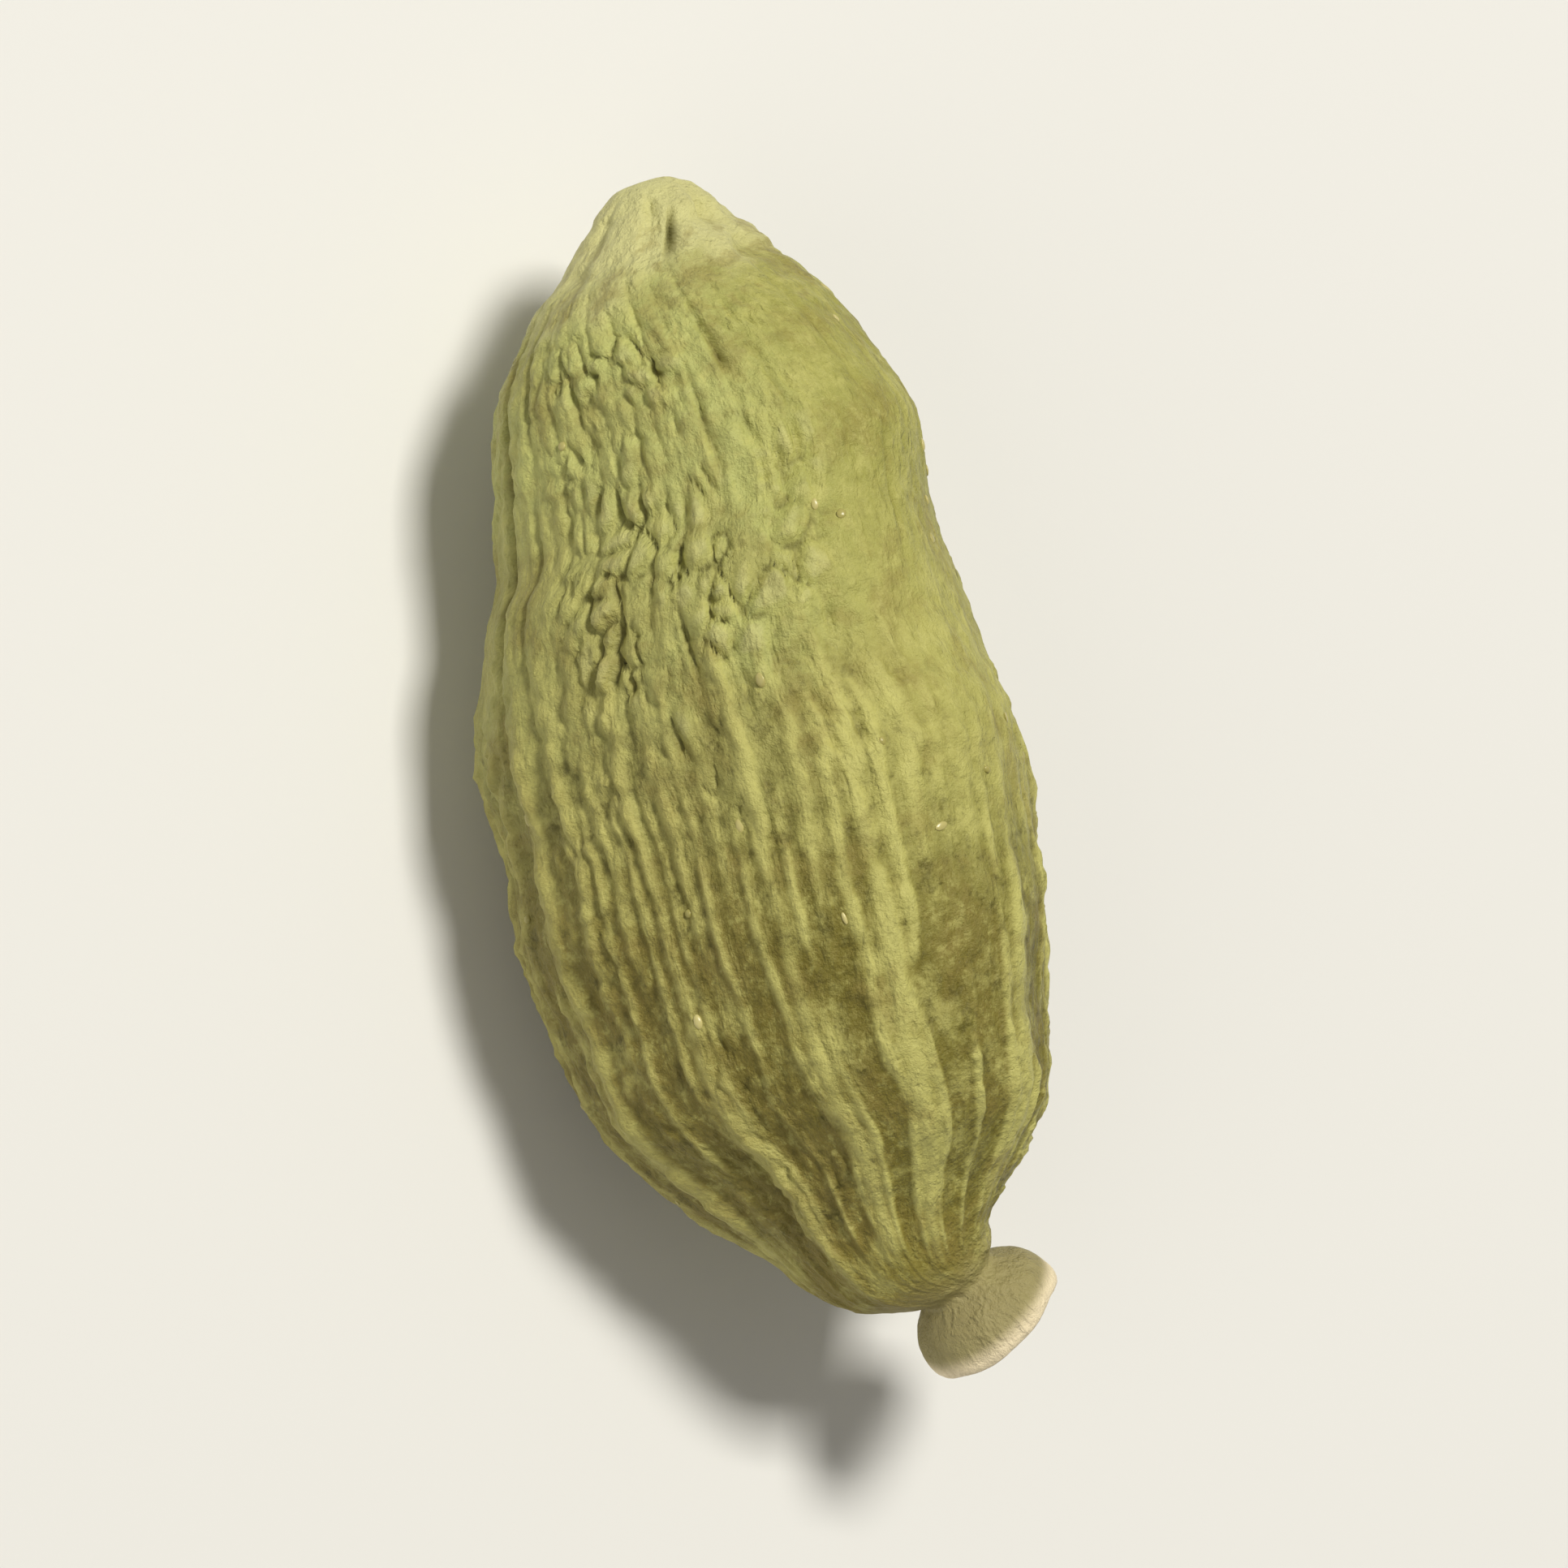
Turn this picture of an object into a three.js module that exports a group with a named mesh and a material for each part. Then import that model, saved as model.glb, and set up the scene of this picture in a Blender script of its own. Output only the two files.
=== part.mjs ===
// Green cardamom pod: a dried, closed capsule with three rounded sides, lying on one of them.
// Millimetres, +Z up. The long axis runs along X, from the blunt nub at -X to the collar at +X.
// The origin is on the resting plane, under the middle of the pod's box.

import * as THREE from 'three';

// Driving dimensions
const bodyLength = 16.6;
const bodyWidth = 8.1;
const depthShare = 0.94;
const collarLength = 0.98;
const collarWidth = 2.28;
const collarLean = THREE.MathUtils.degToRad(23.5);
const collarDip = THREE.MathUtils.degToRad(27);
const restRoll = THREE.MathUtils.degToRad(30);
const restPitch = THREE.MathUtils.degToRad(-3);
const restFlatDepth = 0.18;

// Three sides that meet in rounded edges
const edgeHeight = 0.08;
const edgeAngle = THREE.MathUtils.degToRad(60);

// Lengthwise ribs. Towards the nub they are broad with fine furrows between them, and towards
// the collar they are narrow crests with wide valleys. They stand closer at the crowded angle.
const ribCount = 28;
const ribCrowding = 0.22;
const crowdedAngle = THREE.MathUtils.degToRad(115);
const crestHeight = 0.17;
const crestWidth = 0.22;
const furrowDepth = 0.13;
const furrowWidth = 0.15;
const flankSmoothness = 0.7;
const swayAngle = 0.018;
const seedPitch = 2.9;
const seedSwell = 0.06;

// The puckered nub with its slit, and the uneven lip of the collar
const nubFolds = 7;
const nubFoldDepth = 0.16;
const slitAngle = THREE.MathUtils.degToRad(74);
const slitPlace = 0.93;
const slitLength = 0.3;
const slitWidth = 0.09;
const slitDepth = 0.24;
const lipWobble = 0.03;

// Grid of the skin
const columnsPerRib = 4;
const columns = ribCount * columnsPerRib;
const rowSpacing = 0.5;
const nubRowSpacing = 0.2;
const nubLength = 1.4;

// The body's outline: shares of the body length, and of half the body width
const bodyStations = [
  { along: 0.005, half: 0.0, bow: 0.274 },
  { along: 0.0, half: 0.076, bow: 0.274 },
  { along: 0.008, half: 0.144, bow: 0.276 },
  { along: 0.03, half: 0.242, bow: 0.262 },
  { along: 0.063, half: 0.352, bow: 0.227 },
  { along: 0.09, half: 0.465, bow: 0.187 },
  { along: 0.15, half: 0.645, bow: 0.169 },
  { along: 0.25, half: 0.784, bow: 0.159 },
  { along: 0.301, half: 0.809, bow: 0.128 },
  { along: 0.337, half: 0.85, bow: 0.067 },
  { along: 0.434, half: 0.925, bow: -0.018 },
  { along: 0.554, half: 0.985, bow: -0.026 },
  { along: 0.675, half: 0.967, bow: -0.071 },
  { along: 0.79, half: 0.866, bow: -0.096 },
  { along: 0.873, half: 0.692, bow: -0.051 },
  { along: 0.934, half: 0.478, bow: -0.046 },
  { along: 0.97, half: 0.334, bow: -0.023 },
  { along: 0.988, half: 0.235, bow: 0.052 },
];

// The neck, the flared collar, its lip and the cup inside it: shares of the collar's length
// and of half its width
const collarStations = [
  { out: 0.0, half: 0.54 },
  { out: 0.18, half: 0.68 },
  { out: 0.4, half: 0.88 },
  { out: 0.65, half: 0.98 },
  { out: 0.87, half: 1.0 },
  { out: 0.97, half: 0.965 },
  { out: 1.0, half: 0.91 },
  { out: 0.95, half: 0.83 },
  { out: 0.78, half: 0.68 },
  { out: 0.62, half: 0.5 },
  { out: 0.54, half: 0.33 },
  { out: 0.48, half: 0.16 },
  { out: 0.42, half: 0.0 },
];
const lipStation = 6;
const neckBow = 0.101;

// A smooth step from 0 to 1
function rise(value, from, to) {
  return THREE.MathUtils.smoothstep(value, from, to);
}

// A bell of height 1 round a middle
function bell(value, middle, width) {
  return Math.exp(-(((value - middle) / width) ** 2));
}

// How strongly a rib stands out: it differs from rib to rib and comes and goes along the pod,
// and only the bold ribs reach the collar
function ribStrength(rib, along) {
  const bold = (rib * 0.381) % 1;
  const pace = 0.5 + (rib * 0.618) % 1;
  const start = 2 * Math.PI * ((rib * 0.755) % 1);
  const wave = Math.sin(along * pace + start);
  const reach = 1 - rise(along, 9.5, 13.5) * (1 - rise(bold, 0.45, 0.75));
  return (0.4 + 0.6 * bold) * (0.8 + 0.2 * wave) * reach;
}

// How a ring is turned towards the collar's direction, from 0 on the body to 1 on the collar
function collarTurn(share) {
  const lean = new THREE.Matrix4().makeRotationZ(collarLean * share);
  return lean.multiply(new THREE.Matrix4().makeRotationY(collarDip * share));
}

// The middle line of the pod and, as x of the second line, the half width at each station
function stationLines() {
  const middles = [];
  const halves = [];
  for (const { along, half, bow } of bodyStations) {
    middles.push(new THREE.Vector3(along * bodyLength, bow * bodyWidth / 2, 0));
    halves.push(new THREE.Vector3(half * bodyWidth / 2, 0, 0));
  }
  const neck = new THREE.Vector3(bodyLength, neckBow * bodyWidth / 2, 0);
  for (const { out, half } of collarStations) {
    const reach = new THREE.Vector3(out * collarLength, 0, 0);
    middles.push(reach.applyMatrix4(collarTurn(1)).add(neck));
    halves.push(new THREE.Vector3(half * collarWidth / 2, 0, 0));
  }
  return {
    middle: new THREE.CatmullRomCurve3(middles, false, 'catmullrom', 0.5),
    half: new THREE.CatmullRomCurve3(halves, false, 'catmullrom', 0.5),
    last: middles.length - 1,
  };
}

// How deep the skin lies below the rib crests, for a place around (in turns) and along
function ribRelief(turn, angle, along) {
  const place = turn * ribCount;
  const rib = Math.round(place) % ribCount;
  const gap = Math.floor(place) % ribCount;
  const fromCrest = Math.abs(place - Math.round(place));
  const broader = crestWidth * (1 + 0.7 * rise(along, 10, 14.5));
  const crest = bell(fromCrest, 0, broader) * ribStrength(rib, along);
  const furrow = bell(fromCrest, 0.5, furrowWidth) * ribStrength(gap, along);
  const lower = rise(along, 5, 9);
  const depth = (1 - lower) * furrowDepth * furrow + lower * crestHeight * (1 - crest);
  const flank = rise(Math.cos(angle - 0.35), 0.6, 0.95) * (1 - rise(along, 8, 11.5));
  const ends = rise(along, 0.9, 3.2) * (1 - rise(along, 14.8, 16.8));
  return depth * ends * (1 - flankSmoothness * flank);
}

// A point of the skin, before the pod is laid on its side
function skinPoint(lines, station, turn) {
  const middle = lines.middle.getPoint(station / lines.last);
  const half = lines.half.getPoint(station / lines.last).x;
  const along = middle.x;
  const even = 2 * Math.PI * turn;
  const around = even - ribCrowding * Math.sin(even - crowdedAngle);
  const onBody = rise(along, 1.5, 4) * (1 - rise(along, 14.5, 16.2));
  const sway = Math.sin(along / 2.4 + 3 * Math.sin(around))
    + 0.35 * Math.sin(along / 0.9 + 4 * Math.cos(2 * around));
  const angle = around + onBody * swayAngle * sway;

  const edges = edgeHeight * rise(along, 0.8, 3.5) * (1 - rise(along, 14.2, 16.2));
  const swell = seedSwell * onBody * Math.cos(3 * angle + 0.4 * along)
    * Math.sin(2 * Math.PI * along / seedPitch + 1.7 * Math.cos(angle));
  const onNub = rise(along, 0.1, 0.5) * (1 - rise(along, 0.9, 2.2));
  const pucker = (0.5 - 0.5 * Math.cos(nubFolds * (angle - edgeAngle))) ** 3;
  const slit = slitDepth * bell(angle, slitAngle, slitWidth) * bell(along, slitPlace, slitLength);
  const onLip = bell(station, bodyStations.length + lipStation, 2.2);
  const lip = lipWobble * onLip * (Math.sin(3 * around + 0.7) + 0.6 * Math.sin(5 * around + 2));
  const lipShift = lipWobble * onLip * (Math.sin(4 * around + 1.2) + 0.5 * Math.sin(7 * around));

  const radius = half * (1 + edges * Math.cos(3 * (angle - edgeAngle)))
    + swell - nubFoldDepth * onNub * pucker - slit + lip - ribRelief(turn, angle, along);
  const offset = new THREE.Vector3(
    lipShift,
    edges * half + radius * Math.cos(angle),
    radius * depthShare * Math.sin(angle),
  );
  return offset.applyMatrix4(collarTurn(rise(along, 15.2, 16.9))).add(middle);
}

// The stations at which a ring of points is made, without the two closed ends
function ringStations() {
  const rings = [];
  for (let station = 1; station < bodyStations.length + collarStations.length - 1; station += 1) {
    const here = bodyStations[station];
    const next = bodyStations[station + 1];
    const length = next ? (next.along - here.along) * bodyLength : 0;
    const spacing = next && next.along * bodyLength < nubLength ? nubRowSpacing : rowSpacing;
    const steps = Math.max(1, Math.round(length / spacing));
    for (let step = 0; step < steps; step += 1) {
      rings.push(station + step / steps);
    }
  }
  return rings;
}

// Turns the pod onto a flat side, presses a small flat spot where it rests, and centres it
function layDown(points) {
  const roll = new THREE.Matrix4().makeRotationX(restRoll);
  const pitch = new THREE.Matrix4().makeRotationY(restPitch);
  points.forEach((point) => point.applyMatrix4(roll).applyMatrix4(pitch));
  const box = new THREE.Box3().setFromPoints(points);
  const middle = box.getCenter(new THREE.Vector3());
  const floor = box.min.z + restFlatDepth;
  for (const point of points) {
    point.x -= middle.x;
    point.y -= middle.y;
    point.z = Math.max(point.z - floor, 0);
  }
}

function podGeometry() {
  const lines = stationLines();
  const rings = ringStations();
  const points = [skinPoint(lines, 0, 0)];
  for (const station of rings) {
    for (let column = 0; column < columns; column += 1) {
      points.push(skinPoint(lines, station, column / columns));
    }
  }
  points.push(skinPoint(lines, lines.last, 0));
  layDown(points);

  const index = [];
  const lastPoint = points.length - 1;
  const at = (ring, column) => 1 + ring * columns + column % columns;
  for (let column = 0; column < columns; column += 1) {
    index.push(0, at(0, column + 1), at(0, column));
    index.push(lastPoint, at(rings.length - 1, column), at(rings.length - 1, column + 1));
  }
  for (let ring = 0; ring < rings.length - 1; ring += 1) {
    for (let column = 0; column < columns; column += 1) {
      index.push(at(ring, column), at(ring, column + 1), at(ring + 1, column));
      index.push(at(ring, column + 1), at(ring + 1, column + 1), at(ring + 1, column));
    }
  }
  const geometry = new THREE.BufferGeometry().setFromPoints(points);
  geometry.setIndex(index);
  geometry.computeVertexNormals();
  return geometry;
}

const driedSkin = new THREE.MeshStandardMaterial({ color: '#8f9456', roughness: 0.62, metalness: 0 });
const pod = new THREE.Mesh(podGeometry(), driedSkin);
pod.name = 'pod';

const cardamom = new THREE.Group();
cardamom.add(pod);

export default cardamom;
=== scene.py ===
# Green cardamom pod: the fine husk, its blisters, a pale floor, soft lights and the camera.
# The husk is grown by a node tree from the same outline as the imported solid, in millimetres,
# and comes out in metres in the frame's place.
import math

import bpy
from mathutils import Matrix, Vector


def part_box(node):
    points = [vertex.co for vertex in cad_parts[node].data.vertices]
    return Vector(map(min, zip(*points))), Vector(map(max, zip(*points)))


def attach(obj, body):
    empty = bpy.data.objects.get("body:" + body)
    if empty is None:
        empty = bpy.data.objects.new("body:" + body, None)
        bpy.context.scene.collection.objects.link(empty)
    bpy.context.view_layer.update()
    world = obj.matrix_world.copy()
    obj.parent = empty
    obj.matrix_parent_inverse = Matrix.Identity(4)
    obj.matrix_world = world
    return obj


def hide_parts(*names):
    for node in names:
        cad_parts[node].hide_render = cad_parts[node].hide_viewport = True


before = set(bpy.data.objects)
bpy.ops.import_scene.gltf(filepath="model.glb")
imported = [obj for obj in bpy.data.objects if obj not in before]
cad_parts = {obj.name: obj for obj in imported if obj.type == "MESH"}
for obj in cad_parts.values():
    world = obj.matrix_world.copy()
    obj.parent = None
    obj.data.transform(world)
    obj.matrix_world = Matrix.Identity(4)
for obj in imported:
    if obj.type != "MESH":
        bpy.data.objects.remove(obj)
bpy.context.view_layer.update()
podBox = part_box("pod")
millimetre = 0.001
fullTurn = 2 * math.pi
print("frame loaded, pod is", [round(high - low, 5) for low, high in zip(*podBox)], "m")


# A socket of a node tree. Sums written on it add Math nodes.
class Wire:
    def __init__(self, net, socket):
        self.net = net
        self.socket = socket

    def math(self, operation, *others):
        return mathOf(self.net, operation, self, *others)

    def __add__(self, other):
        return self.math("ADD", other)

    def __radd__(self, other):
        return mathOf(self.net, "ADD", other, self)

    def __sub__(self, other):
        return self.math("SUBTRACT", other)

    def __rsub__(self, other):
        return mathOf(self.net, "SUBTRACT", other, self)

    def __mul__(self, other):
        return self.math("MULTIPLY", other)

    def __rmul__(self, other):
        return mathOf(self.net, "MULTIPLY", other, self)

    def __truediv__(self, other):
        return self.math("DIVIDE", other)

    def __rtruediv__(self, other):
        return mathOf(self.net, "DIVIDE", other, self)

    def __pow__(self, other):
        return self.math("POWER", other)

    def __mod__(self, other):
        return self.math("FLOORED_MODULO", other)

    def __neg__(self):
        return self.math("MULTIPLY", -1.0)

    def __abs__(self):
        return self.math("ABSOLUTE")


# A node tree that nodes are added to, all in the same way
class Net:
    def __init__(self, tree):
        self.tree = tree

    def add(self, kind, settings=None, sockets=None, out=0):
        made = self.tree.nodes.new(kind)
        for name, value in (settings or {}).items():
            setattr(made, name, value)
        for name, value in (sockets or {}).items():
            self.feed(openSocket(made.inputs, name), value)
        return Wire(self, openSocket(made.outputs, out))

    def feed(self, socket, value):
        if isinstance(value, Wire):
            self.tree.links.new(value.socket, socket)
        else:
            socket.default_value = value


def openSocket(sockets, name):
    if isinstance(name, int):
        return sockets[name]
    return next(one for one in sockets if one.name == name and not one.is_unavailable)


def mathOf(net, operation, *values):
    return net.add("ShaderNodeMath", {"operation": operation}, dict(enumerate(values)))


def sine(value):
    return value.math("SINE")


def cosine(value):
    return value.math("COSINE")


# A bell of height 1 round a middle
def bell(value, middle, width):
    return (-(((value - middle) / width) ** 2.0)).math("EXPONENT")


# A smooth step from 0 at low to 1 at high
def rise(value, low, high):
    places = {"Value": value, "From Min": low, "From Max": high, "To Min": 0.0, "To Max": 1.0}
    return value.net.add("ShaderNodeMapRange", {"interpolation_type": "SMOOTHSTEP"}, places)


def joined(x, y, z):
    return x.net.add("ShaderNodeCombineXYZ", sockets={0: x, 1: y, 2: z})


def parts(vector):
    made = vector.net.add("ShaderNodeSeparateXYZ", sockets={0: vector})
    outputs = made.socket.node.outputs
    return [Wire(vector.net, outputs[axis]) for axis in range(3)]


def stretched(vector, shares):
    return vector.net.add("ShaderNodeVectorMath", {"operation": "MULTIPLY"}, {0: vector, 1: shares})


def scaled(vector, factor):
    return vector.net.add("ShaderNodeVectorMath", {"operation": "SCALE"}, {0: vector, "Scale": factor})


def summed(first, second):
    return first.net.add("ShaderNodeVectorMath", {"operation": "ADD"}, {0: first, 1: second})


def turned(vector, axis, angle):
    sockets = {"Vector": vector, "Angle": angle}
    return vector.net.add("ShaderNodeVectorRotate", {"rotation_type": axis + "_AXIS"}, sockets)


def noise(place, scale, detail=2.0, roughness=0.5, out=0):
    sockets = {"Vector": place, "Scale": scale, "Detail": detail, "Roughness": roughness}
    return place.net.add("ShaderNodeTexNoise", sockets=sockets, out=out)


# Noise from about -0.5 to 0.5
def waver(place, scale, detail=2.0, roughness=0.5):
    return noise(place, scale, detail, roughness) - 0.5


# Soft patches: 0 where the noise is below low, 1 where it is above high
def patches(place, scale, low, high, detail=2.0, roughness=0.5):
    return rise(noise(place, scale, detail, roughness), low, high)


def mixColour(factor, first, second):
    sockets = {"Factor": factor, "A": first, "B": second}
    return factor.net.add("ShaderNodeMix", {"data_type": "RGBA"}, sockets, out="Result")


# The outline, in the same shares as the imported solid: of the body's length and half width
body = {
    "length": 16.6,
    "width": 8.1,
    "depthShare": 0.94,
    "neckBow": 0.101,
    "stations": [
        {"along": 0.005, "half": 0.0, "bow": 0.274},
        {"along": 0.0, "half": 0.076, "bow": 0.274},
        {"along": 0.008, "half": 0.144, "bow": 0.276},
        {"along": 0.03, "half": 0.242, "bow": 0.262},
        {"along": 0.063, "half": 0.352, "bow": 0.227},
        {"along": 0.09, "half": 0.465, "bow": 0.187},
        {"along": 0.15, "half": 0.645, "bow": 0.169},
        {"along": 0.25, "half": 0.784, "bow": 0.159},
        {"along": 0.301, "half": 0.809, "bow": 0.128},
        {"along": 0.337, "half": 0.85, "bow": 0.067},
        {"along": 0.434, "half": 0.925, "bow": -0.018},
        {"along": 0.554, "half": 0.985, "bow": -0.026},
        {"along": 0.675, "half": 0.967, "bow": -0.071},
        {"along": 0.79, "half": 0.866, "bow": -0.096},
        {"along": 0.873, "half": 0.692, "bow": -0.051},
        {"along": 0.934, "half": 0.478, "bow": -0.046},
        {"along": 0.97, "half": 0.334, "bow": -0.023},
        {"along": 0.988, "half": 0.235, "bow": 0.052},
    ],
}

# The neck, the flared collar and its cup: shares of the collar's length and half width
collar = {
    "length": 0.98,
    "width": 2.28,
    "lean": math.radians(23.5),
    "dip": math.radians(27),
    "lipStation": 6,
    "stations": [
        {"out": 0.0, "half": 0.54},
        {"out": 0.18, "half": 0.68},
        {"out": 0.4, "half": 0.88},
        {"out": 0.65, "half": 0.98},
        {"out": 0.87, "half": 1.0},
        {"out": 0.97, "half": 0.965},
        {"out": 1.0, "half": 0.91},
        {"out": 0.95, "half": 0.83},
        {"out": 0.78, "half": 0.68},
        {"out": 0.62, "half": 0.5},
        {"out": 0.54, "half": 0.33},
        {"out": 0.48, "half": 0.16},
        {"out": 0.42, "half": 0.0},
    ],
}

# Rows of the fine skin, and how close they lie: the nub and the collar have smaller forms
rail = {
    "rows": 254,
    "nubLength": 2.4,
    "nubWeight": 1.5,
    "collarWeight": 1.9,
    "endGap": 0.12,
    "marksPerStation": 40,
}


# Where the middle line passes, with the half width there as the fourth number
def stationPoints():
    points = []
    halfBody = body["width"] / 2
    for station in body["stations"]:
        along, bow = station["along"] * body["length"], station["bow"] * halfBody
        points.append(Vector((along, bow, 0, station["half"] * halfBody)))
    leaning = Matrix.Rotation(collar["lean"], 3, "Z") @ Matrix.Rotation(collar["dip"], 3, "Y")
    outwards = leaning @ Vector((1, 0, 0))
    neck = Vector((body["length"], body["neckBow"] * halfBody, 0))
    for station in collar["stations"]:
        place = neck + outwards * station["out"] * collar["length"]
        points.append(Vector((*place, station["half"] * collar["width"] / 2)))
    return points


# A point on the smooth line through the stations, at a whole or part station
def linePoint(points, station):
    first = min(int(station), len(points) - 2)
    t = station - first
    a, b = points[first], points[first + 1]
    before = points[first - 1] if first > 0 else 2 * a - b
    after = points[first + 2] if first + 2 < len(points) else 2 * b - a
    leave = (b - before) / 2
    arrive = (after - a) / 2
    bend = 3 * (b - a) - 2 * leave - arrive
    twist = 2 * (a - b) + leave + arrive
    return a + leave * t + bend * t ** 2 + twist * t ** 3


# How close the rows lie at a place on the line
def rowWeight(station, along):
    if station > len(body["stations"]) - 2:
        return rail["collarWeight"]
    if along < rail["nubLength"]:
        return rail["nubWeight"]
    return 1.0


# Spreads the rows along the line, closer where the weight is higher
def rowStations(points):
    last = len(points) - 1
    steps = rail["marksPerStation"] * last
    span = last - 2 * rail["endGap"]
    marks = [rail["endGap"] + span * step / steps for step in range(steps + 1)]
    lengths = [0.0]
    for here, there in zip(marks, marks[1:]):
        start, end = linePoint(points, here), linePoint(points, there)
        lengths.append(lengths[-1] + rowWeight(here, start.x) * (end - start).length)
    stations = []
    mark = 0
    for row in range(rail["rows"]):
        wanted = lengths[-1] * row / (rail["rows"] - 1)
        while mark < len(lengths) - 2 and lengths[mark + 1] < wanted:
            mark += 1
        share = (wanted - lengths[mark]) / (lengths[mark + 1] - lengths[mark])
        stations.append(marks[mark] + share * (marks[mark + 1] - marks[mark]))
    return stations


# The rail is a row of points on the pod's middle line, each with its station and half width
def makeRail():
    points = stationPoints()
    stations = rowStations(points)
    rows = [linePoint(points, station) for station in stations]
    mesh = bpy.data.meshes.new("podRail")
    mesh.from_pydata([row.xyz for row in rows], [], [])
    for name, values in {"station": stations, "half": [row.w for row in rows]}.items():
        kept = mesh.attributes.new(name, "FLOAT", "POINT")
        kept.data.foreach_set("value", values)
    made = bpy.data.objects.new("podRail", mesh)
    bpy.context.scene.collection.objects.link(made)
    print("rail of", len(stations), "rows")
    return made


# What the husk's relief is made of, in millimetres and rib widths
husk = {
    "columns": 384,
    "ribs": 28,
    "crowding": 0.22,
    "crowdedAngle": math.radians(115),
    "ribWander": 0.9,
    "crestHeight": 0.19,
    "crestWidth": 0.22,
    "furrowDepth": 0.22,
    "furrowWidth": 0.11,
    "fineHeight": 0.11,
    "fineWidth": 0.15,
    "beadHeight": 0.12,
    "beadSize": 0.4,
    "crackDepth": 0.11,
    "pebble": 0.135,
    "edgeHeight": 0.08,
    "edgeAngle": math.radians(60),
    "flankSmoothness": 0.7,
    "swayAngle": 0.018,
    "seedPitch": 2.9,
    "seedSwell": 0.06,
    "nubFolds": 7,
    "nubFoldDepth": 0.16,
    "slitAngle": math.radians(74),
    "slitPlace": 0.93,
    "slitLength": 0.3,
    "slitTwist": 0.27,
    "slitWidth": 0.055,
    "slitDepth": 0.26,
    "flapHeight": 0.07,
    "nubLump": 0.32,
    "lipWobble": 0.03,
    "lipReach": 2.2,
    "roll": math.radians(30),
    "pitch": math.radians(-3),
    "flatDepth": 0.18,
}

# Stretches of the pod in millimetres from the tip of the nub: fading in, whole, fading out, gone
stretches = {
    "nubLumps": (0.0, 0.3, 1.6, 3.0),
    "nubFolds": (0.1, 0.5, 0.9, 2.2),
    "nubStains": (0.3, 0.9, 2.0, 4.0),
    "flap": (0.7, 1.2, 1.3, 1.6),
    "edges": (0.8, 3.5, 14.2, 16.2),
    "ribs": (0.9, 3.2, 14.8, 16.8),
    "body": (1.5, 4.0, 14.5, 16.2),
    "beads": (1.5, 2.4, 7.0, 10.0),
    "blisters": (2.0, 3.0, 14.5, 15.5),
    "bellyHighlight": (5.0, 8.0, 10.0, 12.5),
}

# Changes along the pod in the same millimetres: where each starts and where it is complete
changes = {
    "nubPaintGone": (0.8, 2.1),
    "shadePaint": (3.0, 6.0),
    "valleyShadePaint": (5.0, 8.0),
    "furrowsToCrests": (5.0, 9.0),
    "oliveToBrown": (6.5, 11.5),
    "flankGone": (8.0, 11.5),
    "straighterRibs": (8.0, 13.0),
    "yellowGone": (9.5, 13.0),
    "weakRibsGone": (9.5, 13.5),
    "broaderCrests": (10.0, 14.5),
    "turnToCollar": (15.2, 16.9),
    "smootherNeck": (15.9, 16.7),
    "collarPaint": (16.0, 16.8),
}

# Sides of the pod: the angle that each faces in radians, and the cosines of the angles from
# there at which it starts and is whole
sides = {
    "yellow": (0.3, 0.3, 0.9),
    "flank": (0.35, 0.6, 0.95),
    "flap": (0.6, 0.1, 0.8),
    "beads": (1.66, 0.55, 0.93),
    "plainRibs": (2.4, 0.4, 0.9),
    "shade": (2.7, 0.3, 0.9),
}


def onStretch(along, name):
    fadingIn, whole, fadingOut, gone = stretches[name]
    return rise(along, fadingIn, whole) * (1 - rise(along, fadingOut, gone))


def past(along, name):
    return rise(along, *changes[name])


def onSide(angle, name):
    facing, start, whole = sides[name]
    return rise(cosine(angle - facing), start, whole)


def namedValue(net, name, kind="FLOAT"):
    return net.add("GeometryNodeInputNamedAttribute", {"data_type": kind}, {"Name": name})


def stored(geometry, name, value, kind="FLOAT"):
    settings = {"data_type": kind, "domain": "POINT"}
    sockets = {"Geometry": geometry, "Name": name, "Value": value}
    return geometry.net.add("GeometryNodeStoreNamedAttribute", settings, sockets)


def sampled(geometry, value, index, kind="FLOAT"):
    settings = {"data_type": kind, "domain": "POINT"}
    sockets = {"Geometry": geometry, "Value": value, "Index": index}
    return geometry.net.add("GeometryNodeSampleIndex", settings, sockets)


def moved(geometry, **sockets):
    return geometry.net.add("GeometryNodeSetPosition", sockets={"Geometry": geometry, **sockets})


# Starts a tree that takes a geometry and the named inputs, and hands these back by name
def openTree(name, inputs):
    tree = bpy.data.node_groups.new(name, "GeometryNodeTree")
    net = Net(tree)
    tree.interface.new_socket("Geometry", in_out="INPUT", socket_type="NodeSocketGeometry")
    for label, (kind, value) in inputs.items():
        socket = tree.interface.new_socket(label, in_out="INPUT", socket_type="NodeSocket" + kind)
        if value is not None:
            socket.default_value = value
    tree.interface.new_socket("Geometry", in_out="OUTPUT", socket_type="NodeSocketGeometry")
    entry = tree.nodes.new("NodeGroupInput")
    return net, {socket.name: Wire(net, socket) for socket in entry.outputs if socket.name}


def closeTree(net, geometry, material):
    geometry = net.add("GeometryNodeSetShadeSmooth", sockets={"Geometry": geometry})
    geometry = net.add("GeometryNodeRealizeInstances", sockets={"Geometry": geometry})
    sockets = {"Geometry": geometry, "Material": material}
    leave = net.tree.nodes.new("NodeGroupOutput")
    net.feed(leave.inputs[0], net.add("GeometryNodeSetMaterial", sockets=sockets))
    return net.tree


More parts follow.
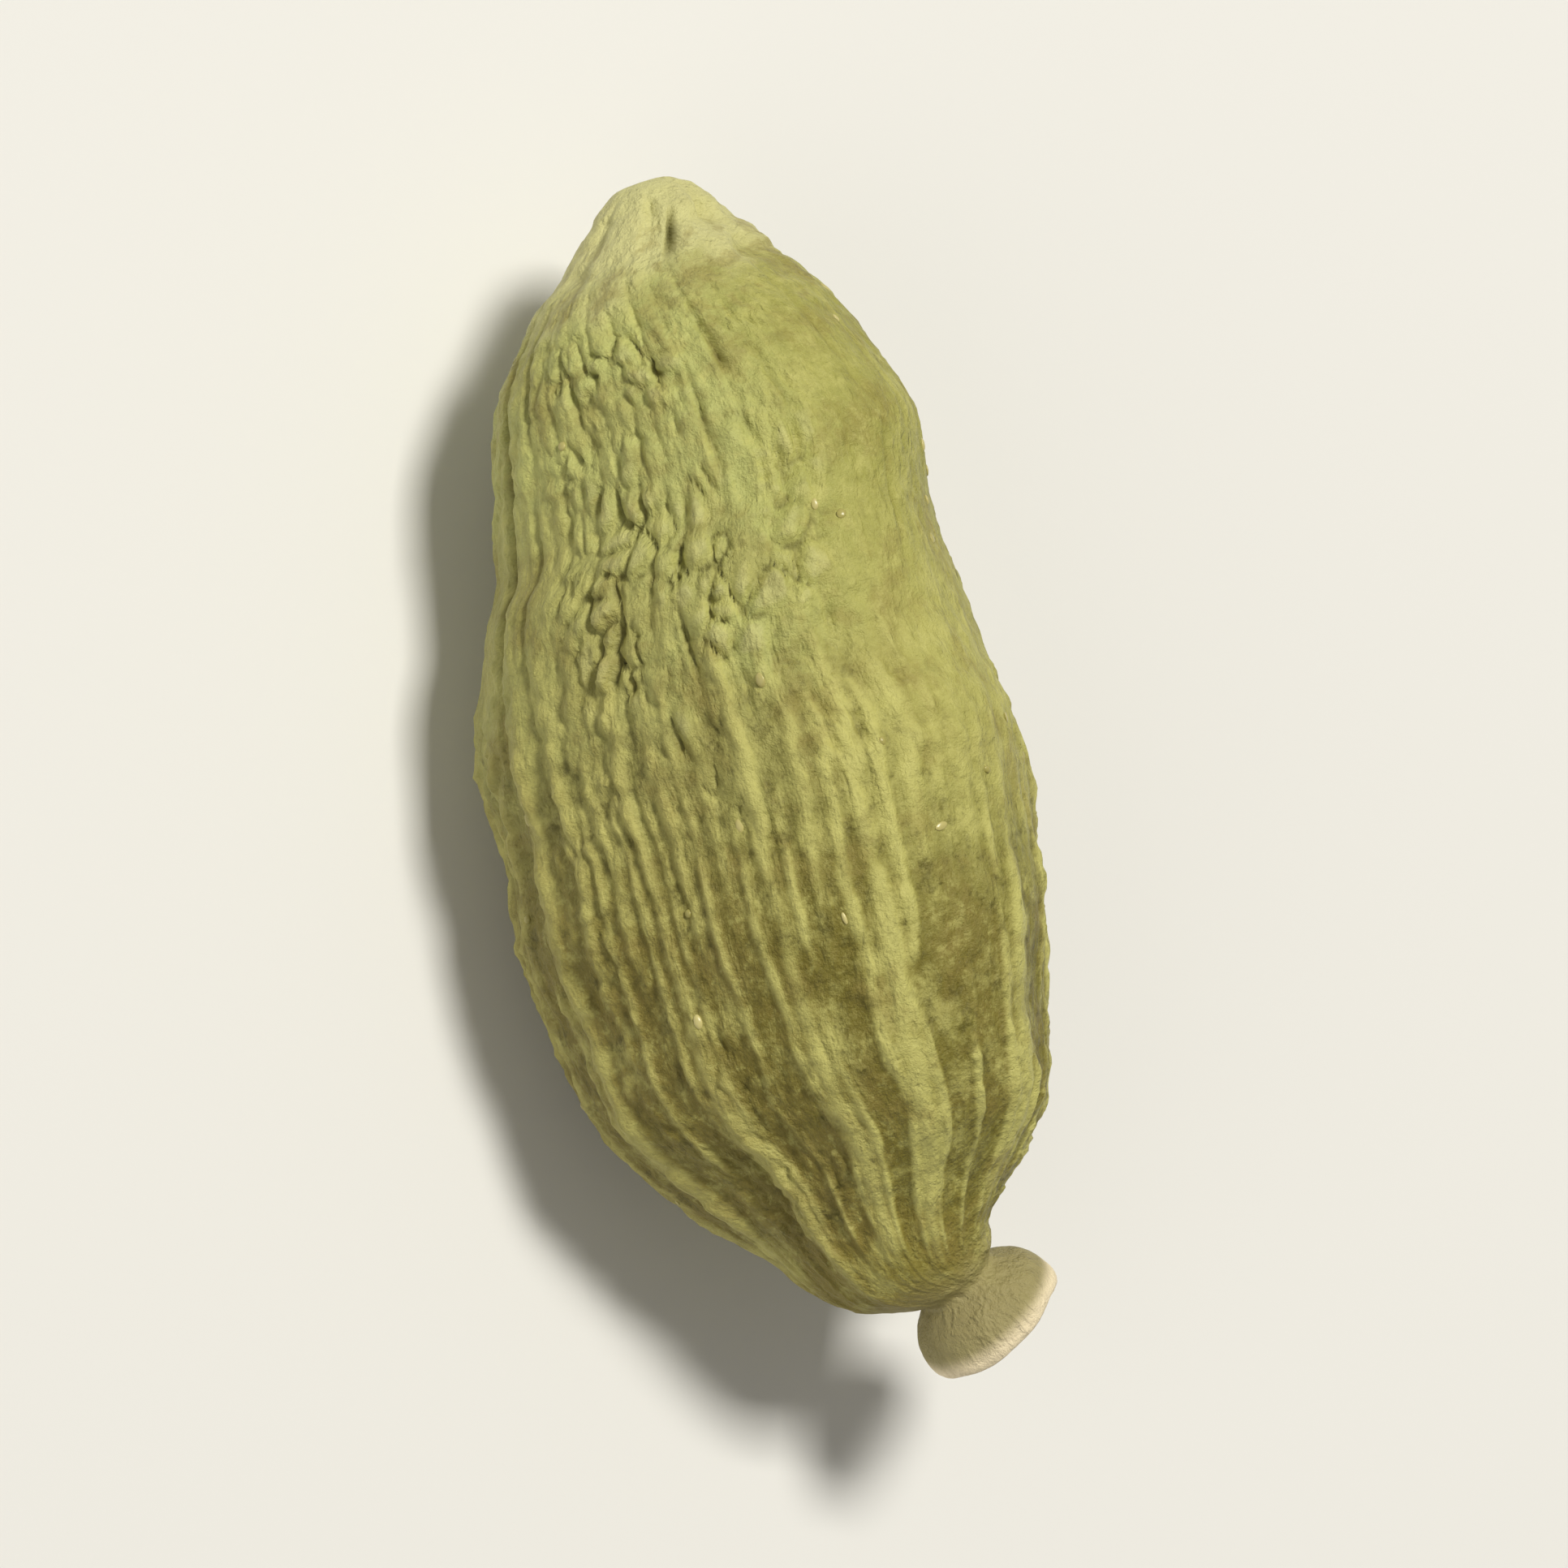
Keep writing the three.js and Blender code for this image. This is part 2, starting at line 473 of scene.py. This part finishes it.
# How strongly a rib stands out: it differs from rib to rib and comes and goes along the pod,
# and only the bold ribs reach the collar
def ribStrength(rib, along):
    bold = (rib * 0.381) % 1.0
    wave = sine(along * (0.5 + (rib * 0.618) % 1.0) + fullTurn * ((rib * 0.755) % 1.0))
    reach = 1 - past(along, "weakRibsGone") * (1 - rise(bold, 0.45, 0.75))
    return (0.4 + 0.6 * bold) * (0.8 + 0.2 * wave) * reach


# Ribs: broad with fine furrows towards the nub, narrow crests with wide valleys towards the
# collar. Hands back their depth, where crests and furrows show, and how much any rib shows.
def ribRelief(give, turn, angle, along, place, unbeaded):
    straighter = 1 - 0.6 * past(along, "straighterRibs")
    seat = turn * give["Ribs"] + husk["ribWander"] * waver(place, 0.4) * straighter
    nearest = seat.math("ROUND")
    rib = nearest % give["Ribs"]
    gap = seat.math("FLOOR") % give["Ribs"]
    fromCrest = abs(seat - nearest)
    lower = past(along, "furrowsToCrests")
    flank = onSide(angle, "flank") * (1 - past(along, "flankGone"))
    shown = onStretch(along, "ribs") * (1 - flank * husk["flankSmoothness"])

    # crests are worn in patches, and furrows break up lengthwise
    smallWear = patches(place, 2.3, 0.38, 0.62)
    worn = 0.55 + 0.3 * patches(place, 0.7, 0.36, 0.56) + 0.35 * smallWear
    broader = give["Crest Width"] * (1 + 0.7 * past(along, "broaderCrests"))
    crest = bell(fromCrest, 0.0, broader) * ribStrength(rib, along) * worn
    drawn = stretched(place, (0.25, 1.0, 1.0))
    furrow = bell(fromCrest, 0.5, give["Furrow Width"]) * ribStrength(gap, along)
    furrow = furrow * (0.3 + 0.9 * patches(drawn, 1.3, 0.36, 0.56)) * unbeaded
    depth = (1 - lower) * give["Furrow Depth"] * furrow + lower * give["Crest Height"] * (1 - crest)

    # a thinner crest stands here and there in the valleys
    between = seat + 0.5 + 0.2 * waver(place, 0.9, 1.0)
    fine = bell(abs(between - between.math("ROUND")), 0.0, husk["fineWidth"])
    fine = fine * patches(drawn, 0.9, 0.36, 0.56) * (0.7 + 0.6 * smallWear)
    fine = fine * lower * shown * (1 - 0.3 * onSide(angle, "plainRibs"))

    depth = depth * shown - give["Fine Height"] * fine
    return depth, crest * lower * shown + 0.7 * fine, furrow * (1 - lower) * shown, shown


# Beads and short creases between them, strongest by the nub on the side that faces up. Hands
# back the beads' height, where the creases are, and how much of both there is.
def beadRelief(give, angle, along, place):
    drift = scaled(noise(place, 0.6, 1.0, out="Color"), 0.8)
    cells = {
        "Vector": summed(stretched(place, (0.72, 1.0, 1.0)), drift),
        "Scale": 1.0 / give["Bead Size"],
    }
    fromEdge = place.net.add("ShaderNodeTexVoronoi", {"feature": "DISTANCE_TO_EDGE"}, cells)
    dome = rise(fromEdge + 0.25 * waver(place, 3.0), 0.0, 0.34)
    crack = (1 - rise(fromEdge, 0.0, 0.13)) * patches(place, 1.5, 0.47, 0.58)
    facing = onSide(angle, "beads")
    patch = patches(place, 0.7, 0.4, 0.6)
    nearNub = onStretch(along, "beads")
    share = nearNub * (0.25 + 0.75 * facing) * (0.5 + 0.5 * patch)
    elsewhere = 0.3 * patch * past(along, "furrowsToCrests") * (1 - nearNub * facing)
    return dome, crack, share + elsewhere


# The nub: how deep its folds are, where its slit is, and where the flap beside the slit is
def nubRelief(angle, along):
    fold = (0.5 - 0.5 * cosine((angle - husk["edgeAngle"]) * husk["nubFolds"])) ** 3.0
    fold = husk["nubFoldDepth"] * onStretch(along, "nubFolds") * fold
    fromSlit = along - husk["slitPlace"]
    slit = bell(angle - husk["slitTwist"] * fromSlit, husk["slitAngle"], husk["slitWidth"])
    slit = slit * bell(fromSlit, 0.0, husk["slitLength"])
    flap = onSide(angle, "flap") * onStretch(along, "flap")
    return fold, slit, flap


# The uneven lip of the collar: how far it stands out, and how far it is pushed along the pod
def lipRelief(around, fromLip):
    wobble = husk["lipWobble"] * bell(fromLip, 0.0, husk["lipReach"])
    out = wobble * (sine(around * 3 + 0.7) + 0.6 * sine(around * 5 + 2))
    shift = wobble * (sine(around * 4 + 1.2) + 0.5 * sine(around * 7))
    return out, shift


# Lays the skin on its flat side, in metres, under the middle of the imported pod's box, and
# presses the small flat spot that it rests on
def laidDown(geometry):
    net = geometry.net
    turnOver = Matrix.Rotation(husk["pitch"], 3, "Y") @ Matrix.Rotation(husk["roll"], 3, "X")
    sockets = {
        "Geometry": geometry,
        "Rotation": turnOver.to_euler(),
        "Scale": (millimetre, millimetre, millimetre),
    }
    geometry = net.add("GeometryNodeTransform", sockets=sockets)
    bound = net.add("GeometryNodeBoundBox", sockets={"Geometry": geometry}).socket.node
    lowX, lowY, lowZ = parts(Wire(net, bound.outputs["Min"]))
    highX, highY, _ = parts(Wire(net, bound.outputs["Max"]))
    low, high = podBox
    x, y, z = parts(net.add("GeometryNodeInputPosition"))
    rested = joined(
        x - (lowX + highX) / 2 + (low[0] + high[0]) / 2,
        y - (lowY + highY) / 2 + (low[1] + high[1]) / 2,
        (z - lowZ - husk["flatDepth"] * millimetre).math("MAXIMUM", 0.0),
    )
    return moved(geometry, Position=rested)


# The tree that turns the rail into the ribbed skin
def makeHuskTree():
    inputs = {
        "Columns": ("Int", husk["columns"]),
        "Ribs": ("Float", float(husk["ribs"])),
        "Crest Height": ("Float", husk["crestHeight"]),
        "Crest Width": ("Float", husk["crestWidth"]),
        "Furrow Depth": ("Float", husk["furrowDepth"]),
        "Furrow Width": ("Float", husk["furrowWidth"]),
        "Fine Height": ("Float", husk["fineHeight"]),
        "Bead Height": ("Float", husk["beadHeight"]),
        "Bead Size": ("Float", husk["beadSize"]),
        "Crack Depth": ("Float", husk["crackDepth"]),
        "Pebble": ("Float", husk["pebble"]),
        "Material": ("Material", None),
    }
    net, give = openTree("podHusk", inputs)

    # an upright tube of rows and columns, whose points say their row and turn
    line = give["Geometry"]
    rows = net.add("GeometryNodeAttributeDomainSize", {"component": "MESH"}, {"Geometry": line})
    tube = net.add(
        "GeometryNodeMeshCylinder",
        {"fill_type": "TRIANGLE_FAN"},
        {"Vertices": give["Columns"], "Side Segments": rows - 1, "Radius": 1.0, "Depth": rows - 1},
    )
    x, y, z = parts(net.add("GeometryNodeInputPosition"))
    row = (z + (rows - 1) / 2).math("ROUND")
    turn = (y.math("ARCTAN2", x) / fullTurn + 1) % 1.0
    spread = (x * x + y * y).math("SQRT")
    middle = sampled(line, net.add("GeometryNodeInputPosition"), row, "FLOAT_VECTOR")
    station = sampled(line, namedValue(net, "station"), row)
    half = sampled(line, namedValue(net, "half"), row)
    along = parts(middle)[0]
    fromLip = station - len(body["stations"]) - collar["lipStation"]

    # ribs crowd together on one side, and the skin sways a little along the pod
    even = turn * fullTurn
    around = even - husk["crowding"] * sine(even - husk["crowdedAngle"])
    sway = sine(along / 2.4 + 3 * sine(around)) + 0.35 * sine(along / 0.9 + 4 * cosine(around * 2))
    onBody = onStretch(along, "body")
    angle = around + onBody * husk["swayAngle"] * sway

    # the smooth form: three rounded sides, swellings over the seeds, the nub and the lip
    edges = husk["edgeHeight"] * onStretch(along, "edges")
    swell = husk["seedSwell"] * onBody * cosine(angle * 3 + along * 0.4)
    swell = swell * sine(along * (fullTurn / husk["seedPitch"]) + 1.7 * cosine(angle))
    fold, slit, flap = nubRelief(angle, along)
    lip, lipShift = lipRelief(around, fromLip)
    smooth = half * (1 + edges * cosine((angle - husk["edgeAngle"]) * 3)) + swell - fold + lip

    # the fine relief, on a place that runs once round the skin with no seam
    place = joined(along, half * cosine(angle), half * sine(angle))
    dome, crack, beaded = beadRelief(give, angle, along, place)
    ribs, crest, furrow, shown = ribRelief(give, turn, angle, along, place, 1 - 0.6 * beaded)
    beaded = beaded * shown
    beads = give["Bead Height"] * beaded * (dome - 0.5) - give["Crack Depth"] * beaded * crack
    cup = rise(fromLip + 0.5 * waver(place, 2.5), -0.1, 0.7)
    grit = give["Pebble"] * waver(place, 3.4, 3.0, 0.65) * (1 + 1.2 * beaded)
    grit = grit * (1 - 0.65 * past(along, "smootherNeck")) * (1 - cup)
    lumps = husk["nubLump"] * waver(place, 1.9, 1.0) * onStretch(along, "nubLumps")
    nub = flap * husk["flapHeight"] + lumps - slit * husk["slitDepth"]
    radius = smooth - ribs + beads + grit + nub

    # each ring of points leans with the neck, round its place on the middle line
    leaning = past(along, "turnToCollar")
    ring = joined(
        spread * lipShift,
        edges * half + spread * radius * cosine(angle),
        spread * radius * body["depthShare"] * sine(angle),
    )
    ring = turned(ring, "Y", leaning * collar["dip"])
    ring = turned(ring, "Z", leaning * collar["lean"])

    # kept on the skin for the paint before the points move
    marks = {
        "around": angle,
        "crest": crest,
        "furrow": furrow,
        "valley": ribs / husk["crestHeight"],
        "crack": beaded * crack,
        "dome": beaded * dome,
        "slit": slit,
        "cup": cup,
        # how deep a point lies in the cup's hollow, for the painted shade there
        "hollowShade": rise(fromLip + 1.2 * waver(place, 3.0), 2.4, 3.8),
        "lip": rise(fromLip, -3.3, -2.1) * (1 - rise(fromLip, 0.2, 1.3)),
    }
    geometry = stored(tube, "place", place, "FLOAT_VECTOR")
    for name, value in marks.items():
        geometry = stored(geometry, name, value)
    geometry = laidDown(moved(geometry, Position=summed(ring, middle)))
    return closeTree(net, geometry, give["Material"])


# Blisters: sparse, tiny, pale raised specks on the skin, in metres
blister = {
    "count": 40.0,
    "skinArea": 0.00036,
    "size": 0.00011,
    "flatness": 0.4,
    "narrowest": (0.45, 0.3, 0.5),
    "widest": (1.0, 0.75, 1.0),
    "lumpiness": 0.35,
    "seed": 5,
}


# The tree that scatters the blisters over a finished husk
def makeBlisterTree():
    inputs = {
        "Density": ("Float", blister["count"] / blister["skinArea"]),
        "Size": ("Float", blister["size"]),
        "Flatness": ("Float", blister["flatness"]),
        "Seed": ("Int", blister["seed"]),
        "Material": ("Material", None),
    }
    net, give = openTree("podBlisters", inputs)
    along = parts(namedValue(net, "place", "FLOAT_VECTOR"))[0]
    scattered = net.add(
        "GeometryNodeDistributePointsOnFaces",
        {"distribute_method": "RANDOM"},
        {
            "Mesh": give["Geometry"],
            "Density": give["Density"] * onStretch(along, "blisters"),
            "Seed": give["Seed"],
        },
    )
    outputs = scattered.socket.node.outputs
    ball = net.add("GeometryNodeMeshIcoSphere", sockets={"Radius": 1.0, "Subdivisions": 3})
    bump = blister["lumpiness"] * waver(net.add("GeometryNodeInputPosition"), 1.3, 1.0)
    ball = moved(ball, Offset=scaled(net.add("GeometryNodeInputNormal"), bump))
    wide = net.add(
        "FunctionNodeRandomValue",
        {"data_type": "FLOAT_VECTOR"},
        {"Min": blister["narrowest"], "Max": blister["widest"], "Seed": give["Seed"]},
    )
    x, y, z = parts(wide)
    sockets = {
        "Points": Wire(net, outputs["Points"]),
        "Instance": ball,
        "Rotation": Wire(net, outputs["Rotation"]),
        "Scale": joined(x * give["Size"], y * give["Size"], z * give["Size"] * give["Flatness"]),
    }
    placed = net.add("GeometryNodeInstanceOnPoints", sockets=sockets)
    return closeTree(net, placed, give["Material"])


# Runs a tree on an object and returns the result as a plain mesh object
def grown(source, tree, material, name):
    modifier = source.modifiers.new(tree.name, "NODES")
    modifier.node_group = tree
    inputs = [item for item in tree.interface.items_tree if item.in_out == "INPUT"]
    identifiers = {item.name: item.identifier for item in inputs}
    modifier[identifiers["Material"]] = material
    evaluated = source.evaluated_get(bpy.context.evaluated_depsgraph_get())
    mesh = bpy.data.meshes.new_from_object(evaluated)
    source.modifiers.remove(modifier)
    mesh.name = name
    made = bpy.data.objects.new(name, mesh)
    bpy.context.scene.collection.objects.link(made)
    print(name, "has", len(mesh.polygons), "faces")
    return made


def openPaint(name):
    material = bpy.data.materials.new(name)
    material.use_nodes = True
    material.node_tree.nodes.clear()
    return material, Net(material.node_tree)


def closePaint(net, sockets):
    surface = net.add("ShaderNodeBsdfPrincipled", sockets=sockets)
    output = net.tree.nodes.new("ShaderNodeOutputMaterial")
    net.feed(output.inputs["Surface"], surface)


# Colours as seen on the pod in daylight, some used as painted shade and painted highlight, and how its
# grain looks
huskPaint = {
    "valley": (0.23, 0.195, 0.03, 1),
    "upper": (0.495, 0.51, 0.17, 1),
    "flank": (0.365, 0.35, 0.08, 1),
    "brown": (0.27, 0.21, 0.05, 1),
    # a paler tone: the husk's own pale patches and fibres, painted highlight on the flank's bulge, and
    # on the crests partly their own tone and partly painted highlight
    "crest": (0.59, 0.56, 0.18, 1),
    # near black: painted shade in the furrows, valley bottoms, cracks between beads and the slit, and
    # the dark of the grain's mottling
    "furrow": (0.08, 0.068, 0.007, 1),
    # the nub's own pale cream, also used as painted highlight on the bead tops
    "nub": (0.68, 0.65, 0.3, 1),
    "collar": (0.36, 0.31, 0.14, 1),
    "lip": (0.96, 0.82, 0.56, 1),
    "cup": (0.36, 0.28, 0.17, 1),
    # painted shade deep inside the cup
    "hollowShade": (0.05, 0.028, 0.014, 1),
    "roughness": 0.5,
    "specular": 0.32,
    "grainBump": 0.9,
    "grainDepth": 0.00011,
}


def makeHuskPaint():
    material, net = openPaint("huskPaint")

    def kept(name, out="Fac"):
        return net.add("ShaderNodeAttribute", {"attribute_name": name}, out=out)

    place = kept("place", "Vector")
    along = parts(place)[0]
    around, crest, valley, furrow = kept("around"), kept("crest"), kept("valley"), kept("furrow")
    yellow = onSide(around, "yellow") * (1 - 0.85 * past(along, "yellowGone"))
    fibres = patches(stretched(place, (0.2, 1.0, 1.0)), 3.2, 0.45, 0.7, detail=3.0, roughness=0.6)
    # where the valleys are deepest, for the painted shade there
    valleyShade = rise(valley, 0.45, 0.95) * (1 - rise(crest, 0.1, 0.5))
    broad = noise(place, 1.2, 4.0, 0.7)
    mottle = noise(place, 3.2, 4.0, 0.75)
    stains = patches(place, 2.1, 0.5, 0.66, detail=3.0, roughness=0.65)

    # the paint's name, how strong the coat is, and where it goes, from the first coat to the last
    coats = [
        ("valley", 1.0, past(along + 2.0 * waver(place, 0.4, 1.0), "oliveToBrown")),
        ("flank", 0.9, yellow),
        # painted highlight: the flank paler across its bulge in the middle of the pod
        ("crest", 0.4, yellow * onStretch(along, "bellyHighlight")),
        ("brown", 0.4, patches(place, 0.55, 0.46, 0.68, detail=3.0)),
        # paler crests: partly the husk's own tone, partly painted highlight along the ridges
        ("crest", 0.82, rise(crest, 0.12, 0.58)),
        ("crest", 0.3, fibres),
        # painted shade in the furrows between the ribs
        ("furrow", 0.8, rise(furrow, 0.12, 0.8)),
        ("brown", 0.35, onSide(around, "shade") * past(along, "shadePaint")),
        # painted shade in the valley bottoms, darker where the valleys are deeper
        ("furrow", 0.27, valleyShade * past(along, "valleyShadePaint")),
        # painted shade in the short creases between the beads
        ("furrow", 0.55, rise(kept("crack"), 0.2, 0.8)),
        # painted highlight: the bead tops paler, where the light catches them
        ("nub", 0.35, rise(kept("dome"), 0.4, 0.95)),
        ("brown", 0.45, rise(broad, 0.48, 0.68)),
        ("crest", 0.4, 1 - rise(broad, 0.34, 0.5)),
        # dark mottling of the husk's own grain, made stronger in the deeper valleys as painted shade
        ("furrow", 1.0, rise(mottle, 0.5, 0.7) * (0.2 + 0.45 * rise(valley, 0.3, 0.9))),
        ("crest", 0.45, 1 - rise(mottle, 0.3, 0.48)),
        ("nub", 0.85, 1 - past(along + 1.6 * waver(place, 1.3, 3.0), "nubPaintGone")),
        ("brown", 0.45, stains * onStretch(along, "nubStains")),
        # painted shade inside the slit at the nub
        ("furrow", 0.9, kept("slit")),
        ("collar", 0.9, past(along + 0.4 * waver(place, 1.6), "collarPaint")),
        ("lip", 0.95, kept("lip")),
    ]
    colour = huskPaint["upper"]
    for name, strength, where in coats:
        colour = mixColour(where * strength, colour, huskPaint[name])
    # the cup's inside, darker deeper into its hollow: painted shade
    inside = mixColour(kept("hollowShade"), huskPaint["cup"], huskPaint["hollowShade"])
    colour = mixColour(kept("cup"), colour, inside)

    grain = noise(place, 4.5, 5.0, 0.7)
    relief = {
        "Strength": huskPaint["grainBump"],
        "Distance": huskPaint["grainDepth"],
        "Height": grain + 0.3 * fibres,
    }
    shader = {
        "Base Color": colour,
        "Roughness": huskPaint["roughness"] + 0.25 * (grain - 0.5),
        "Specular IOR Level": huskPaint["specular"],
        "Normal": net.add("ShaderNodeBump", sockets=relief),
    }
    closePaint(net, shader)
    print("husk paint of", len(coats), "coats")
    return material


blisterPaint = {
    "dull": (0.38, 0.34, 0.1, 1),
    "pale": (0.6, 0.53, 0.22, 1),
    "roughness": 0.3,
    "spotsPerMetre": 900.0,
}


def makeBlisterPaint():
    material, net = openPaint("blisterPaint")
    place = net.add("ShaderNodeTexCoord", out="Object")
    tint = patches(place, blisterPaint["spotsPerMetre"], 0.35, 0.65)
    shader = {
        "Base Color": mixColour(tint, blisterPaint["dull"], blisterPaint["pale"]),
        "Roughness": blisterPaint["roughness"],
    }
    closePaint(net, shader)
    return material


floorFacts = {"reach": 0.6, "colour": (0.78, 0.775, 0.76, 1), "roughness": 0.85}


def makeFloor():
    reach = floorFacts["reach"]
    mesh = bpy.data.meshes.new("floor")
    corners = [(-reach, -reach, 0), (reach, -reach, 0), (reach, reach, 0), (-reach, reach, 0)]
    mesh.from_pydata(corners, [], [(0, 1, 2, 3)])
    floor = bpy.data.objects.new("floor", mesh)
    bpy.context.scene.collection.objects.link(floor)
    material, net = openPaint("floorPaint")
    closePaint(net, {"Base Color": floorFacts["colour"], "Roughness": floorFacts["roughness"]})
    mesh.materials.append(material)
    print("floor laid")


# Directions are from the pod. The key light stands high over it, a little towards the nub and
# the far side, and the fill stands lower, on the camera's side.
lights = {
    "key": {
        "towards": (-0.28, 0.13, 0.95),
        "distance": 0.35,
        "size": 0.08,
        "power": 1.1,
        "colour": (1.0, 0.975, 0.9),
    },
    "fill": {
        "towards": (0.1, -0.95, 0.6),
        "distance": 0.4,
        "size": 0.3,
        "power": 0.24,
        "colour": (1.0, 0.97, 0.88),
    },
}
room = {"colour": (1.0, 0.975, 0.9, 1), "strength": 0.2}


def makeLights():
    for name, facts in lights.items():
        data = bpy.data.lights.new(name, "AREA")
        data.size = facts["size"]
        data.energy = facts["power"]
        data.color = facts["colour"]
        lamp = bpy.data.objects.new(name, data)
        towards = Vector(facts["towards"]).normalized()
        lamp.location = towards * facts["distance"]
        lamp.rotation_euler = towards.to_track_quat("Z", "Y").to_euler()
        bpy.context.scene.collection.objects.link(lamp)
    world = bpy.data.worlds.new("softRoom")
    world.use_nodes = True
    sky = world.node_tree.nodes["Background"]
    sky.inputs["Color"].default_value = room["colour"]
    sky.inputs["Strength"].default_value = room["strength"]
    bpy.context.scene.world = world
    bpy.context.scene.view_settings.view_transform = "Standard"
    print("lights set")


# The photo looks at the pod from above one of its upper sides, with the nub at the top left
view = {
    "elevation": math.radians(60),
    "imageTurn": math.radians(73),
    "distance": 0.2,
    "frameWidth": 0.0228,
    "sensorWidth": 36,
    "nearest": 0.001,
}


def makeCamera():
    low, high = podBox
    centre = (Vector(low) + Vector(high)) / 2
    back = Vector((0, -math.cos(view["elevation"]), math.sin(view["elevation"])))
    data = bpy.data.cameras.new("camera")
    data.sensor_width = view["sensorWidth"]
    data.lens = view["sensorWidth"] * view["distance"] / view["frameWidth"]
    data.clip_start = view["nearest"]
    camera = bpy.data.objects.new("camera", data)
    camera.location = centre + back * view["distance"]
    level = back.to_track_quat("Z", "Y").to_matrix()
    camera.rotation_euler = (level @ Matrix.Rotation(view["imageTurn"], 3, "Z")).to_euler()
    bpy.context.scene.collection.objects.link(camera)
    bpy.context.scene.camera = camera
    print("camera placed")


makeCamera()
makeLights()
makeFloor()

railObject = makeRail()
pod = grown(railObject, makeHuskTree(), makeHuskPaint(), "podHusk")
blisters = grown(pod, makeBlisterTree(), makeBlisterPaint(), "podBlisters")
bpy.data.objects.remove(railObject)
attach(pod, "root")
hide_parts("pod")
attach(blisters, "root")
